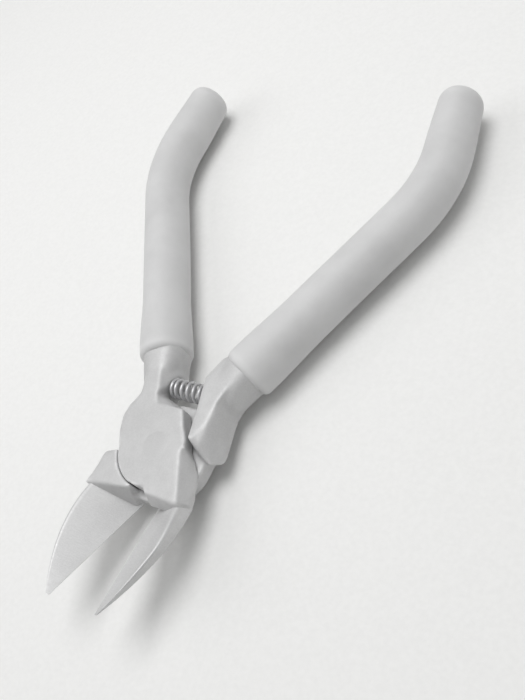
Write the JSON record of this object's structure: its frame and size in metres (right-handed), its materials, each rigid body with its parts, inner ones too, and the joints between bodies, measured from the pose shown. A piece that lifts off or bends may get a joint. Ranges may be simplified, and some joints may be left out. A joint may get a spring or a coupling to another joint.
{
  "type": "flush cut pliers",
  "caption": "Flush cut pliers: lap-jointed head with raised bevelled blades, coil return spring between the necks and dipped, bowed grips.",
  "frame": {"origin": "on the pivot axis, at the head's flat back face", "axes": "+Z from the back face to the front face along the pivot axis, +Y towards the grips, -Y towards the jaws, +X to the right seen from the front; drawn at rest with the jaws open"},
  "size_m": [0.0958, 0.1478, 0.0166],
  "materials": {
    "tool_steel": "satin, fine blasted forging with ground faces",
    "rivet_steel": "ground flush, satin",
    "spring_steel": "drawn wire, plated",
    "grip_vinyl": "dipped vinyl, matte"
  },
  "bodies": {
    "rear_half": {"rear_lever": "tool_steel", "right_grip": "grip_vinyl", "pivot_rivet": "rivet_steel", "rear_spring_post": "rivet_steel", "return_spring": "spring_steel"},
    "front_half": {"front_lever": "tool_steel", "left_grip": "grip_vinyl", "front_spring_post": "rivet_steel"}
  },
  "joints": [
    {"name": "pivot", "type": "hinge", "parent": "rear_half", "child": "front_half", "pos_m": [0, 0, 0.0045], "axis": [0, 0, 1], "range_deg": [-20, 5], "stiffness_Nm_per_rad": 1.2, "deforming": ["return_spring"]}
  ]
}
